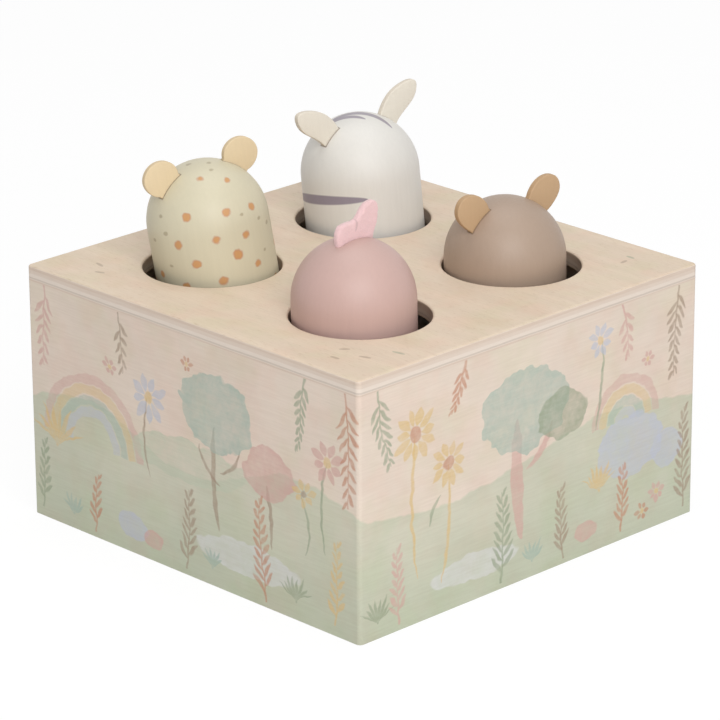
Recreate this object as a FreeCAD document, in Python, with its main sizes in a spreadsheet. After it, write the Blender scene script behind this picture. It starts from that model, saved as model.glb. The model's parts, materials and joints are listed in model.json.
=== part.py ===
import FreeCAD, Part
import math
import os
import Sketcher

# Pop-up animal toy: a square plywood box with four round holes in its top.  A turned wooden animal
# peg stands loosely in each hole, on a coil spring, so it can be pressed down and lifted out.
# Millimetres and degrees.  The origin is the middle of the box's underside, +Z is up, and each
# wall faces along X or Y: front_wall looks along -Y and right_wall along +X.

DIMENSIONS = [
    # box
    ("box_width", 149.0),
    ("box_height", 84.0),
    ("corner_radius", 1.5),
    ("top_thickness", 5.0),
    ("top_edge_radius", 0.8),
    ("wall_thickness", 6.0),
    ("base_thickness", 5.0),
    ("panel_gap", 0.1),
    ("batten_width", 12.0),
    ("hole_diameter", 44.0),
    ("hole_inset", 41.3),
    # screws
    ("screw_diameter", 3.0),
    ("screw_head_diameter", 6.0),
    ("screw_head_height", 1.6),
    ("screw_length", 13.0),
    ("screw_tip_length", 2.0),
    ("screw_tip_diameter", 0.5),
    ("screw_sink", 0.3),
    ("screw_clearance", 0.05),
    ("screw_slot_length", 3.3),
    ("screw_slot_width", 0.8),
    ("screw_slot_depth", 0.7),
    # springs and their seats
    ("seat_diameter", 28.0),
    ("seat_thickness", 4.0),
    ("spigot_height", 5.0),
    ("spigot_clearance", 0.4),
    ("spring_diameter", 22.0),
    ("spring_wire", 1.6),
    ("spring_length", 34.0),
    ("spring_open_turns", 5.0),
    ("spring_coil_gap", 0.05),
    ("spring_seat_gap", 0.05),
    ("peg_rest_gap", 0.3),
    # pegs
    ("peg_clearance", 2.75),
    ("peg_foot_chamfer", 1.0),
    ("press_travel", 18.0),
    ("zebra_shaft", 55.1),
    ("leopard_shaft", 53.4),
    ("flamingo_shaft", 45.6),
    ("bear_shaft", 43.2),
    # ears and crest
    ("ear_thickness", 2.0),
    ("ear_tang", 4.5),
    ("ear_set_back", 1.4),
    ("slot_clearance", 0.1),
    ("zebra_ear_angle", 37.7),
    ("zebra_ear_reach", 34.2),
    ("zebra_ear_width", 8.9),
    ("zebra_ear_neck", 7.6),
    ("zebra_ear_bow", 3.7),
    ("leopard_ear_angle", 37.9),
    ("leopard_ear_reach", 28.4),
    ("leopard_ear_width", 11.7),
    ("leopard_ear_neck", 9.4),
    ("leopard_ear_bow", 0.6),
    ("bear_ear_angle", 39.0),
    ("bear_ear_reach", 29.7),
    ("bear_ear_width", 10.8),
    ("bear_ear_neck", 9.6),
    ("bear_ear_bow", 1.1),
    ("crest_thickness", 2.6),
    ("crest_set_back", 0.0),
    ("crest_small_radius", 4.0),
    ("crest_small_side", -2.6),
    ("crest_small_height", 21.2),
    ("crest_large_radius", 4.6),
    ("crest_large_side", 6.4),
    ("crest_large_height", 23.1),
    ("crest_root_width", 13.4),
    ("crest_root_side", 1.1),
    ("crest_root_height", 21.6),
]

# Where each peg stands: the hole's side along X and Y, how its axis lies in the hole, and how far
# it is turned about its axis, in degrees.  The axis is given by two shares of the clearance: how
# far it is off the hole's middle at the box's top, and how far it drifts sideways over the press
# travel.  The first is along the plan's diagonal from (-X, -Y) to (+X, +Y), the drift against it.
PLACES = {
    "zebra": (-1, 1, 0.16, 0.56, -7.0),
    "leopard": (-1, -1, 0.40, 1.00, -15.0),
    "flamingo": (1, -1, -0.68, 0.12, 0.0),
    "bear": (1, 1, -0.73, 0.08, -5.5),
}
DIAGONAL = FreeCAD.Vector(1, 1, 0).normalize()
# The side to which the pegs lean, in degrees from +X.  The springs' upper wire ends are there.
LEAN_BEARING = 225
UP = FreeCAD.Vector(0, 0, 1)
HOLES = {animal: place[:2] for animal, place in PLACES.items()}
CORNERS = {
    "front_left": (-1, -1),
    "front_right": (1, -1),
    "back_right": (1, 1),
    "back_left": (-1, 1),
}
WALLS = ["front_wall", "right_wall", "back_wall", "left_wall"]

# How many arcs make one turn of a spring.
COIL_SIDES = 8

# Lengths under this count as nothing when an edge is looked for.
NEAR = 0.01

# The form of an ear's lobe: where along it it is widest, where its shoulders are, and their width.
EAR_WIDEST = 0.42
EAR_SHOULDER = 0.80
EAR_SHOULDER_WIDTH = 0.74

doc = FreeCAD.newDocument("pop_up_animals")
sheet = doc.addObject("Spreadsheet::Sheet", "sizes")
for number, (alias, length) in enumerate(DIMENSIONS, start=1):
    sheet.set("A%d" % number, alias)
    sheet.set("B%d" % number, str(length))
    sheet.setAlias("B%d" % number, alias)
doc.recompute()

size = {alias: float(sheet.get(alias)) for alias, length in DIMENSIONS}
parts = []

# Expressions that several pieces share.
WALL_HEIGHT = "(sizes.box_height - sizes.top_thickness)"
INNER_WIDTH = "(sizes.box_width - 2 * sizes.wall_thickness)"
HOLE_PLACE = "(sizes.box_width / 2 - sizes.hole_inset)"
PEG_RADIUS = "(sizes.hole_diameter / 2 - sizes.peg_clearance)"
SPRING_RADIUS = "((sizes.spring_diameter - sizes.spring_wire) / 2)"
SPRING_FOOT = "(sizes.base_thickness + sizes.seat_thickness + sizes.spring_seat_gap)"
SPIGOT_RADIUS = "(sizes.spring_diameter / 2 - sizes.spring_wire - sizes.spigot_clearance)"
BATTEN_PLACE = "(%s / 2 - sizes.batten_width / 2 - sizes.panel_gap)" % INNER_WIDTH
SCREW_TOP = "(sizes.screw_sink + sizes.screw_length)"
BORE_RADIUS = "(sizes.screw_diameter / 2 + sizes.screw_clearance)"


def value(expression):
    """The number that an expression of the sheet's sizes gives."""
    found = sheet.evalExpression(expression)
    return float(getattr(found, "Value", found))


def keep(feature, label):
    """Counts a finished feature as a sub-part, under the name of its node."""
    feature.Label = label
    parts.append(feature)
    return feature


def bind(feature, **expressions):
    for name, expression in expressions.items():
        feature.setExpression(name, expression)
    return feature


def primitive(kind, name, **expressions):
    return bind(doc.addObject("Part::" + kind, name), **expressions)


def move(feature, x="0", y="0", z="0"):
    """Binds a feature's place to the sheet."""
    feature.setExpression("Placement.Base.x", x)
    feature.setExpression("Placement.Base.y", y)
    feature.setExpression("Placement.Base.z", z)
    return feature


def cut(name, base, tools):
    """The base with every tool taken away, one after the other."""
    result = base
    for number, tool in enumerate(tools, start=1):
        taken = doc.addObject("Part::Cut", "%s_cut_%d" % (name, number))
        taken.Base = result
        taken.Tool = tool
        result = taken
    return result


def fuse(name, shapes):
    joined = doc.addObject("Part::MultiFuse", name)
    joined.Shapes = shapes
    return joined


def common(name, base, tool):
    shared = doc.addObject("Part::Common", name)
    shared.Base = base
    shared.Tool = tool
    return shared


def new_body(name):
    return doc.addObject("PartDesign::Body", name)


def new_sketch(body, name, role):
    """A sketch on one of its own body's origin planes."""
    sketch = body.newObject("Sketcher::SketchObject", name)
    for plane in body.Origin.OriginFeatures:
        if plane.Role == role:
            sketch.AttachmentSupport = [(plane, "")]
    sketch.MapMode = "FlatFace"
    return sketch


def pin_point(sketch, geometry, point, across, along):
    """Ties one point of a sketch to a pair of expressions."""
    for kind, expression in (("DistanceX", across), ("DistanceY", along)):
        rule = Sketcher.Constraint(kind, -1, 1, geometry, point, value(expression))
        index = sketch.addConstraint(rule)
        sketch.setExpression("Constraints[%d]" % index, expression)


def draw_outline(sketch, corners):
    """A closed outline of straight lines through corners given as pairs of expressions."""
    spots = [FreeCAD.Vector(value(across), value(along), 0) for across, along in corners]
    for number, spot in enumerate(spots):
        following = spots[(number + 1) % len(spots)]
        sketch.addGeometry(Part.LineSegment(spot, following), False)
    for number, (across, along) in enumerate(corners):
        following = (number + 1) % len(corners)
        sketch.addConstraint(Sketcher.Constraint("Coincident", number, 2, following, 1))
        pin_point(sketch, number, 1, across, along)


def draw_circle(sketch, across, along, radius):
    middle = FreeCAD.Vector(value(across), value(along), 0)
    index = sketch.addGeometry(Part.Circle(middle, FreeCAD.Vector(0, 0, 1), value(radius)), False)
    pin_point(sketch, index, 3, across, along)
    rule = sketch.addConstraint(Sketcher.Constraint("Radius", index, value(radius)))
    sketch.setExpression("Constraints[%d]" % rule, radius)


def pad(body, sketch, name, length):
    raised = body.newObject("PartDesign::Pad", name)
    raised.Profile = sketch
    raised.setExpression("Length", length)
    return raised


def square(side):
    """The corners of a square about the origin."""
    low = "-(%s) / 2" % side
    high = "(%s) / 2" % side
    return [(low, low), (high, low), (high, high), (low, high)]


def edges_where(shape, test):
    """The names of a shape's edges that pass a test."""
    return ["Edge%d" % number for number, edge in enumerate(shape.Edges, start=1) if test(edge)]


def is_upright(edge):
    box = edge.BoundBox
    return box.ZLength > NEAR and box.XLength < NEAR and box.YLength < NEAR


def round_edges(body, base, names, radius, name):
    rounded = body.newObject("PartDesign::Fillet", name)
    rounded.Base = (base, names)
    rounded.setExpression("Radius", radius)
    return rounded


def box_envelope(name, height):
    """A block of the box's plan, with its upright corners rounded."""
    body = new_body(name)
    sketch = new_sketch(body, name + "_plan", "XY_Plane")
    draw_outline(sketch, square("sizes.box_width"))
    block = pad(body, sketch, name + "_pad", height)
    doc.recompute()
    upright = edges_where(block.Shape, is_upright)
    rounded = round_edges(body, block, upright, "sizes.corner_radius", name + "_corners")
    doc.recompute()
    return body, rounded


def make_top_board():
    body, block = box_envelope("top_board", "sizes.top_thickness")
    sketch = new_sketch(body, "peg_holes", "XY_Plane")
    for side_x, side_y in CORNERS.values():
        across = "%d * %s" % (side_x, HOLE_PLACE)
        along = "%d * %s" % (side_y, HOLE_PLACE)
        draw_circle(sketch, across, along, "sizes.hole_diameter / 2")
    holes = body.newObject("PartDesign::Pocket", "peg_hole_cuts")
    holes.Profile = sketch
    holes.Type = "ThroughAll"
    holes.Reversed = True
    doc.recompute()
    top = value("sizes.top_thickness")
    names = edges_where(holes.Shape, lambda edge: abs(edge.BoundBox.ZMin - top) < NEAR)
    round_edges(body, holes, names, "sizes.top_edge_radius", "top_board_rim")
    move(body, z=WALL_HEIGHT)
    keep(body, "top_board")


def make_walls():
    """Four walls whose ends meet in mitres at the rounded corners."""
    for turn, name in enumerate(WALLS):
        blank = new_body(name + "_blank")
        sketch = new_sketch(blank, name + "_plan", "XY_Plane")
        outer = "sizes.box_width / 2"
        inner = "%s / 2" % INNER_WIDTH
        corners = [("-" + outer, "-" + outer), (outer, "-" + outer)]
        corners += [(inner, "-" + inner), ("-" + inner, "-" + inner)]
        draw_outline(sketch, corners)
        pad(blank, sketch, name + "_pad", WALL_HEIGHT)
        blank.Placement = FreeCAD.Placement(FreeCAD.Vector(), FreeCAD.Rotation(UP, 90 * turn))
        envelope, _ = box_envelope(name + "_envelope", WALL_HEIGHT)
        keep(common(name, blank, envelope), name)


def screw_hole(name, x, y, top):
    """The space of one screw, with its clearance, from the underside up to a height."""
    sunk = "sizes.screw_sink"
    bore = primitive("Cylinder", name + "_bore", Radius=BORE_RADIUS, Height=top)
    mouth_radius = "sizes.screw_head_diameter / 2 + sizes.screw_clearance"
    mouth = primitive("Cylinder", name + "_mouth", Radius=mouth_radius, Height=sunk)
    cone = primitive("Cone", name + "_cone", Radius1=mouth_radius, Radius2=BORE_RADIUS,
                     Height="sizes.screw_head_height")
    move(bore, x, y)
    move(mouth, x, y)
    move(cone, x, y, sunk)
    return fuse(name, [bore, mouth, cone])


def screw(name, x, y):
    """A countersunk screw that points up from the underside."""
    sunk = "sizes.screw_sink"
    shank_height = "sizes.screw_length - sizes.screw_tip_length"
    radius = "sizes.screw_diameter / 2"
    head = primitive("Cone", name + "_head", Radius1="sizes.screw_head_diameter / 2",
                     Radius2=radius, Height="sizes.screw_head_height")
    shank = primitive("Cylinder", name + "_shank", Radius=radius, Height=shank_height)
    tip = primitive("Cone", name + "_tip", Radius1=radius, Radius2="sizes.screw_tip_diameter / 2",
                    Height="sizes.screw_tip_length")
    move(head, x, y, sunk)
    move(shank, x, y, sunk)
    move(tip, x, y, "%s + %s" % (sunk, shank_height))
    slots = []
    bars = [("sizes.screw_slot_length", "sizes.screw_slot_width")]
    bars.append(("sizes.screw_slot_width", "sizes.screw_slot_length"))
    for number, (length, width) in enumerate(bars):
        slot = primitive("Box", "%s_slot_%d" % (name, number), Length=length, Width=width,
                         Height="sizes.screw_slot_depth")
        move(slot, "%s - (%s) / 2" % (x, length), "%s - (%s) / 2" % (y, width), sunk)
        slots.append(slot)
    return cut(name, fuse(name + "_whole", [head, shank, tip]), slots)


def make_screws(name, place):
    """One screw at each of the four corners of a square of the given half side."""
    screws = []
    for corner, (side_x, side_y) in CORNERS.items():
        across = "%d * %s" % (side_x, place)
        along = "%d * %s" % (side_y, place)
        screws.append(screw("%s_%s" % (name, corner), across, along))
    group = doc.addObject("Part::Compound", name)
    group.Links = screws
    keep(group, name)


def screw_holes(name, place, top):
    holes = []
    for corner, (side_x, side_y) in CORNERS.items():
        across = "%d * %s" % (side_x, place)
        along = "%d * %s" % (side_y, place)
        holes.append(screw_hole("%s_%s" % (name, corner), across, along, top))
    return holes


def make_base_board():
    body = new_body("base_blank")
    sketch = new_sketch(body, "base_plan", "XY_Plane")
    draw_outline(sketch, square("%s - 2 * sizes.panel_gap" % INNER_WIDTH))
    pad(body, sketch, "base_pad", "sizes.base_thickness")
    holes = screw_holes("base_batten_holes", BATTEN_PLACE, "sizes.base_thickness")
    holes += screw_holes("base_seat_holes", HOLE_PLACE, "sizes.base_thickness")
    keep(cut("base_board", body, holes), "base_board")


def pilot_hole(name, x, y):
    """The blind hole that a screw makes above the base board."""
    depth = "%s + sizes.screw_clearance - sizes.base_thickness" % SCREW_TOP
    hole = primitive("Cylinder", name, Radius=BORE_RADIUS, Height=depth)
    return move(hole, x, y, "sizes.base_thickness")


def make_battens():
    """Square battens that stand on the base board in the corners, up to the top board."""
    height = "%s - sizes.base_thickness" % WALL_HEIGHT
    for corner, (side_x, side_y) in CORNERS.items():
        name = corner + "_batten"
        x = "%d * %s" % (side_x, BATTEN_PLACE)
        y = "%d * %s" % (side_y, BATTEN_PLACE)
        blank = primitive("Box", name + "_blank", Length="sizes.batten_width",
                          Width="sizes.batten_width", Height=height)
        half = "sizes.batten_width / 2"
        move(blank, "%s - %s" % (x, half), "%s - %s" % (y, half), "sizes.base_thickness")
        keep(cut(name, blank, [pilot_hole(name + "_pilot", x, y)]), name)


def make_seats():
    """Turned seats: a flange that the spring stands on and a spigot inside its end coil."""
    for animal, (side_x, side_y) in HOLES.items():
        name = animal + "_seat"
        x = "%d * %s" % (side_x, HOLE_PLACE)
        y = "%d * %s" % (side_y, HOLE_PLACE)
        flange = primitive("Cylinder", name + "_flange", Radius="sizes.seat_diameter / 2",
                           Height="sizes.seat_thickness")
        spigot = primitive("Cylinder", name + "_spigot", Radius=SPIGOT_RADIUS,
                           Height="sizes.seat_thickness + sizes.spigot_height")
        move(flange, x, y, "sizes.base_thickness")
        move(spigot, x, y, "sizes.base_thickness")
        whole = fuse(name + "_whole", [flange, spigot])
        keep(cut(name, whole, [pilot_hole(name + "_pilot", x, y)]), name)


def coil_line():
    """A spring's wire line from its foot up: one smooth line of arcs.

    Each arc touches two sides of a helical polygon at their middles, and all the sides are equally
    long.  The end turns are closed, and the open turns share the rest of the spring's length.
    """
    radius = value(SPRING_RADIUS) / math.cos(math.pi / COIL_SIDES)
    side = 2 * radius * math.sin(math.pi / COIL_SIDES)
    closed_rise = size["spring_wire"] + size["spring_coil_gap"]
    open_turns = round(size["spring_open_turns"])
    open_rise = (size["spring_length"] - size["spring_wire"] - 2 * closed_rise) / open_turns
    rises = [closed_rise / COIL_SIDES] * COIL_SIDES
    rises += [open_rise / COIL_SIDES] * COIL_SIDES * open_turns
    rises += [closed_rise / COIL_SIDES] * (COIL_SIDES + 1)
    angle = 0.0
    height = (size["spring_wire"] - rises[0]) / 2
    corners = [FreeCAD.Vector(radius, 0, height)]
    for rise in rises:
        angle += 2 * math.asin(math.sqrt(side ** 2 - rise ** 2) / (2 * radius))
        height += rise
        corners.append(FreeCAD.Vector(radius * math.cos(angle), radius * math.sin(angle), height))
    middles = [(first + second) * 0.5 for first, second in zip(corners, corners[1:])]
    arcs = []
    for start, corner, end in zip(middles, corners[1:], middles[1:]):
        half_turn = math.acos((end - start).Length / side)
        outwards = (corner - (start + end) * 0.5).normalize()
        rise_of_arc = (end - start).Length / 2 * math.tan(half_turn / 2)
        arcs.append(Part.Arc(start, (start + end) * 0.5 + outwards * rise_of_arc, end).toShape())
    return Part.Wire(arcs)


def make_springs():
    """Coil springs with closed end turns; their wire line is no primitive, so it is set by hand."""
    for animal, (side_x, side_y) in HOLES.items():
        name = animal + "_spring"
        line = doc.addObject("Part::Feature", name + "_line")
        line.Shape = coil_line()
        start = line.Shape.Edges[0]
        end = line.Shape.Edges[-1]
        top_end = end.valueAt(end.LastParameter)
        turn = LEAN_BEARING - math.degrees(math.atan2(top_end.y, top_end.x))
        section = primitive("Circle", name + "_section", Radius="sizes.spring_wire / 2")
        facing = FreeCAD.Rotation(UP, start.tangentAt(start.FirstParameter))
        section.Placement = FreeCAD.Placement(start.valueAt(start.FirstParameter), facing)
        wire = doc.addObject("Part::Sweep", name)
        wire.Sections = [section]
        wire.Spine = (line, [])
        wire.Solid = True
        wire.Placement = FreeCAD.Placement(FreeCAD.Vector(), FreeCAD.Rotation(UP, turn))
        x = "%d * %s" % (side_x, HOLE_PLACE)
        y = "%d * %s" % (side_y, HOLE_PLACE)
        keep(move(wire, x, y, SPRING_FOOT), name)


def peg_pose(animal):
    """How a peg stands: its foot's middle, and the turn that leans it in its loose hole."""
    side_x, side_y, rim_share, lean_share, turn = PLACES[animal]
    clearance = size["peg_clearance"]
    slope = lean_share * clearance / size["press_travel"]
    at_rim = rim_share * clearance
    reach = size["spring_diameter"] / 2
    spring_top = value(SPRING_FOOT + " + sizes.spring_length + sizes.peg_rest_gap")
    height = spring_top + abs(slope) * reach + slope * at_rim + slope ** 2 * size["box_height"]
    foot_height = height / (1 + slope ** 2)
    at_foot = at_rim + slope * (size["box_height"] - foot_height)
    hole = FreeCAD.Vector(side_x, side_y, 0) * value(HOLE_PLACE)
    foot = hole + DIAGONAL * at_foot + UP * foot_height
    axis = (UP - DIAGONAL * slope).normalize()
    return FreeCAD.Placement(foot, FreeCAD.Rotation(UP, axis) * FreeCAD.Rotation(UP, turn))


def slot_corners(angle, low, high, half):
    """A slot's outline beside a dome's middle: from low to high along a line at an angle."""
    corners = []
    for along, across in ((low, "-" + half), (high, "-" + half), (high, half), (low, half)):
        side = "(%s) * sin(%s) + (%s) * cos(%s)" % (along, angle, across, angle)
        rise = "(%s) * cos(%s) - (%s) * sin(%s)" % (along, angle, across, angle)
        corners.append((side, rise))
    return corners


def peg_blank(animal):
    """The turned peg: a shaft with a chamfered foot and a round head."""
    body = new_body(animal + "_turned")
    shaft = body.newObject("PartDesign::AdditiveCylinder", animal + "_shaft")
    bind(shaft, Radius=PEG_RADIUS, Height="sizes.%s_shaft" % animal)
    dome = body.newObject("PartDesign::AdditiveSphere", animal + "_dome")
    bind(dome, Radius=PEG_RADIUS)
    dome.Angle1 = 0
    dome.Angle2 = 90
    dome.setExpression("Placement.Base.z", "sizes.%s_shaft" % animal)
    doc.recompute()
    foot = edges_where(dome.Shape, lambda edge: edge.BoundBox.ZMax < NEAR)
    chamfer = body.newObject("PartDesign::Chamfer", animal + "_foot")
    chamfer.Base = (dome, foot)
    chamfer.setExpression("Size", "sizes.peg_foot_chamfer")
    body.Tip = chamfer
    return body


def cut_slot(body, name, corners, shaft, thickness, set_back):
    """Cuts a flat slot across the peg's head, in the plane of its ears or crest."""
    sketch = new_sketch(body, name + "_outline", "YZ_Plane")
    sketch.setExpression("AttachmentOffset.Base.z", set_back)
    draw_outline(sketch, [(side, "sizes.%s + %s" % (shaft, rise)) for side, rise in corners])
    slot = body.newObject("PartDesign::Pocket", name)
    slot.Profile = sketch
    slot.SideType = "Symmetric"
    slot.setExpression("Length", "%s + 2 * sizes.slot_clearance" % thickness)
    body.Tip = slot
    doc.recompute()


def ear_face(animal, sign):
    """An ear's outline, upright over the dome's middle, on the ear's front face.

    Its neck stands in the slot, and its lobe runs on in one freehand curve, bowed outwards.
    """
    half_neck = size[animal + "_ear_neck"] / 2
    half_width = size[animal + "_ear_width"] / 2
    tip = size[animal + "_ear_reach"]
    bow = sign * size[animal + "_ear_bow"]
    neck = value(PEG_RADIUS)
    widest = neck + (tip - neck) * EAR_WIDEST
    shoulder = neck + (tip - neck) * EAR_SHOULDER
    half_shoulder = half_width * EAR_SHOULDER_WIDTH
    middle_bow = bow * EAR_WIDEST ** 2
    shoulder_bow = bow * EAR_SHOULDER ** 2
    spots = [(-half_neck, neck), (middle_bow - half_width, widest)]
    spots += [(shoulder_bow - half_shoulder, shoulder), (bow, tip)]
    spots += [(shoulder_bow + half_shoulder, shoulder), (middle_bow + half_width, widest)]
    spots.append((half_neck, neck))
    low = neck - size["ear_tang"]
    corners = [(half_neck, neck), (half_neck, low), (-half_neck, low), (-half_neck, neck)]
    front = size["ear_set_back"] - size["ear_thickness"] / 2
    lobe = Part.BSplineCurve()
    lobe.interpolate([FreeCAD.Vector(front, across, along) for across, along in spots])
    points = [FreeCAD.Vector(front, across, along) for across, along in corners]
    edges = [lobe.toShape()]
    edges += [Part.LineSegment(first, second).toShape() for first, second in zip(points, points[1:])]
    return Part.Face(Part.Wire(edges))


def make_ears(animal, pose):
    """Two flat ears; a freehand outline like theirs is neither a primitive nor a sketch."""
    middle = FreeCAD.Vector(0, 0, size[animal + "_shaft"])
    for side, sign in (("left", 1), ("right", -1)):
        ear = doc.addObject("Part::Feature", "%s_%s_ear" % (animal, side))
        ear.Shape = ear_face(animal, sign).extrude(FreeCAD.Vector(size["ear_thickness"], 0, 0))
        tilt = FreeCAD.Rotation(FreeCAD.Vector(1, 0, 0), -sign * size[animal + "_ear_angle"])
        ear.Placement = pose * FreeCAD.Placement(middle, tilt)
        keep(ear, "%s_%s_ear" % (animal, side))


def make_eared_peg(animal):
    """A peg with two slots, and its ears."""
    pose = peg_pose(animal)
    body = peg_blank(animal)
    half = "(sizes.%s_ear_neck / 2 + sizes.slot_clearance)" % animal
    low = "(%s - sizes.ear_tang - sizes.slot_clearance)" % PEG_RADIUS
    high = "(sizes.%s_ear_reach)" % animal
    for side, sign in (("left", 1), ("right", -1)):
        angle = "(%d * sizes.%s_ear_angle)" % (sign, animal)
        corners = slot_corners(angle, low, high, half)
        name = "%s_%s_slot" % (animal, side)
        cut_slot(body, name, corners, animal + "_shaft", "sizes.ear_thickness",
                 "sizes.ear_set_back")
    body.Placement = pose
    keep(body, animal + "_peg")
    make_ears(animal, pose)


def make_flamingo():
    """The peg with a two-lobed crest set along the top of its head."""
    pose = peg_pose("flamingo")
    body = peg_blank("flamingo")
    half = "(sizes.crest_root_width / 2 + sizes.slot_clearance)"
    ends = ["sizes.crest_root_side - " + half, "sizes.crest_root_side + " + half]
    low = "(%s - sizes.ear_tang - sizes.slot_clearance)" % PEG_RADIUS
    high = "sizes.crest_large_height"
    corners = [(ends[0], low), (ends[1], low), (ends[1], high), (ends[0], high)]
    cut_slot(body, "flamingo_slot", corners, "flamingo_shaft", "sizes.crest_thickness",
             "sizes.crest_set_back")
    body.Placement = pose
    keep(body, "flamingo_peg")

    thickness = "sizes.crest_thickness"
    back = "sizes.crest_set_back - %s / 2" % thickness
    root = primitive("Box", "crest_root", Length=thickness, Width="sizes.crest_root_width",
                     Height="sizes.crest_root_height + sizes.ear_tang - %s" % PEG_RADIUS)
    move(root, back, "sizes.crest_root_side - sizes.crest_root_width / 2",
         "%s - sizes.ear_tang" % PEG_RADIUS)
    lobes = []
    for lobe in ("small", "large"):
        disc = primitive("Cylinder", "crest_%s_lobe" % lobe,
                         Radius="sizes.crest_%s_radius" % lobe, Height=thickness)
        disc.Placement.Rotation = FreeCAD.Rotation(FreeCAD.Vector(0, 1, 0), 90)
        move(disc, back, "sizes.crest_%s_side" % lobe,
             "sizes.crest_%s_height" % lobe)
        lobes.append(disc)
    crest = fuse("flamingo_crest", [root] + lobes)
    middle = FreeCAD.Vector(0, 0, size["flamingo_shaft"])
    crest.Placement = pose * FreeCAD.Placement(middle, FreeCAD.Rotation())
    keep(crest, "flamingo_crest")


make_top_board()
make_walls()
make_base_board()
make_battens()
make_screws("batten_screws", BATTEN_PLACE)
make_seats()
make_screws("seat_screws", HOLE_PLACE)
make_springs()
make_eared_peg("zebra")
make_eared_peg("leopard")
make_flamingo()
make_eared_peg("bear")
doc.recompute()

for feature in doc.Objects:
    if "Invalid" in feature.State or "Error" in feature.State:
        raise RuntimeError("%s failed: %s" % (feature.Name, feature.State))
for feature in parts:
    shape = feature.Shape
    if shape.isNull() or not shape.isValid() or not shape.Solids:
        raise RuntimeError("%s has no sound shape" % feature.Label)

os.makedirs("parts", exist_ok=True)
for feature in parts:
    feature.Shape.exportStep("parts/%s.step" % feature.Label)
    box = feature.Shape.BoundBox
    print("%-24s %d solids %9.1f mm3  z %.2f to %.2f"
          % (feature.Label, len(feature.Shape.Solids), feature.Shape.Volume, box.ZMin, box.ZMax))
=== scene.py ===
import json
import math

import bpy
from mathutils import Matrix, Vector


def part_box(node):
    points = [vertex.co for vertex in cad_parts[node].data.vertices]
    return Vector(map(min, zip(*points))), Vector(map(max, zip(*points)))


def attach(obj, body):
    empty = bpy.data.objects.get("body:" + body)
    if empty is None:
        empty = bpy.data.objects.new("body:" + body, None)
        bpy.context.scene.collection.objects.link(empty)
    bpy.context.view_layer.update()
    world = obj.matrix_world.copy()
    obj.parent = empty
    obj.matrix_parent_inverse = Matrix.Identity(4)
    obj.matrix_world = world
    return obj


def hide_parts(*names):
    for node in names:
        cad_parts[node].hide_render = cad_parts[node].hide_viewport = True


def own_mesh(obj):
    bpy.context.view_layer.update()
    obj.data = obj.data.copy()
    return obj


bl_info = {
    "name": "Pop-up animal toy",
    "version": (1, 0, 0),
    "blender": (4, 5, 0),
    "location": "View3D > Sidebar > Pop-up toy",
    "description": "Dresses the printed plywood box and its four painted animal pegs",
    "category": "Object",
}

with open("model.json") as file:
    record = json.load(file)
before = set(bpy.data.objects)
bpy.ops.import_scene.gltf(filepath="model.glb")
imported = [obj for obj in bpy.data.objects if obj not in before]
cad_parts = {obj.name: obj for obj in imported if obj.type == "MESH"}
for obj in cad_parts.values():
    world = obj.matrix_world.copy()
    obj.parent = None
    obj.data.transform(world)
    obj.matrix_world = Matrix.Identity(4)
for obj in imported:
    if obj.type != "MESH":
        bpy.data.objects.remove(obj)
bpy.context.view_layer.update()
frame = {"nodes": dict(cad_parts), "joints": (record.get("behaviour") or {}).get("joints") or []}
# The CAD's pieces by name.
cad = frame["nodes"]

MM = 0.001
IN_MM = 1000.0
ORIGIN = (0, 0, 0)

# Sizes of the toy in millimetres, and how far each wall is turned round it, in degrees.
PEG_RADIUS = 19.25
HALF_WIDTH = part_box("top_board")[1].x / MM
HOLE_RADIUS = 22.0
HOLE_PLACE = 33.2
WALL_TURNS = {"front_wall": 0, "right_wall": 90, "back_wall": 180, "left_wall": 270}
# How far each peg is turned about its own axis, in degrees.
PEG_TURNS = {"zebra": -7.0, "leopard": -15.0, "flamingo": 0.0, "bear": -5.5}
# Millimetres over which a printed or painted edge fades.
INK_EDGE = 0.42
# The painted shade on the plies of the peg holes' walls, where little light reaches.
HOLE_SHADE = (0.52, 0.47, 0.42)
# Faint tints that come and go over veneer and print, and the scale of their patches.
TINTS = (((1.0, 0.93, 0.92), 0.085), ((0.93, 0.98, 0.90), 0.07))

# Points closer than this, in metres, are one point.
SAME_POINT = 1e-6
# Faces that turn by less than this lie in one plane.
FLAT_ANGLE = math.radians(0.5)
# Edges that turn by less than this look smooth.
SMOOTH_ANGLE = math.radians(40)
# Edges of an ear that turn by more than this are softened.
SHARP_ANGLE = math.radians(50)

# How far the floor lies under the toy's foot, in millimetres, so that their faces don't coincide,
# and its radius in metres.
FLOOR_DROP = 0.05
FLOOR_RADIUS = 4.0
# How white the floor's paper looks to the camera, and how much it covers the toy's shadow.
PAPER_GLOW = 1.04
PAPER_SHARE = 0.86
# Where each light stands and how wide it is, and the point that both are aimed at, in metres.
KEY_LIGHT = ((0.95, -0.57, 0.78), 0.9)
OVERHEAD_LIGHT = ((-0.1, 0.1, 1.2), 0.8)
LIGHT_AIM = Vector((0, 0, 0.05))
# Where the camera stands, the way it looks and how far it is rolled.
CAMERA_PLACE = Vector((0.89468, -0.87527, 0.51614))
CAMERA_AIM = Vector((-0.67056, 0.65524, -0.34787))
CAMERA_ROLL = math.radians(-0.319)
CAMERA_LENS = 210.79
CAMERA_NEAR = 0.01

# How far apart nodes stand in the editor, and how many stand in a row.
NODE_STEP = (190, 230)
NODE_ROW = 14


def to_linear(level):
    share = level / 255
    return share / 12.92 if share <= 0.04045 else ((share + 0.055) / 1.055) ** 2.4


def colour(name, text, *levels):
    """A colour that the user can change; its default is given as it looks on a screen."""
    return bpy.props.FloatVectorProperty(
        name=name, description=text, subtype="COLOR", size=3, min=0.0, max=1.0,
        default=[to_linear(level) for level in levels])


def length(name, text, millimetres):
    return bpy.props.FloatProperty(
        name=name, description=text, subtype="DISTANCE", unit="LENGTH", min=0.0,
        default=millimetres * MM)


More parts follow.
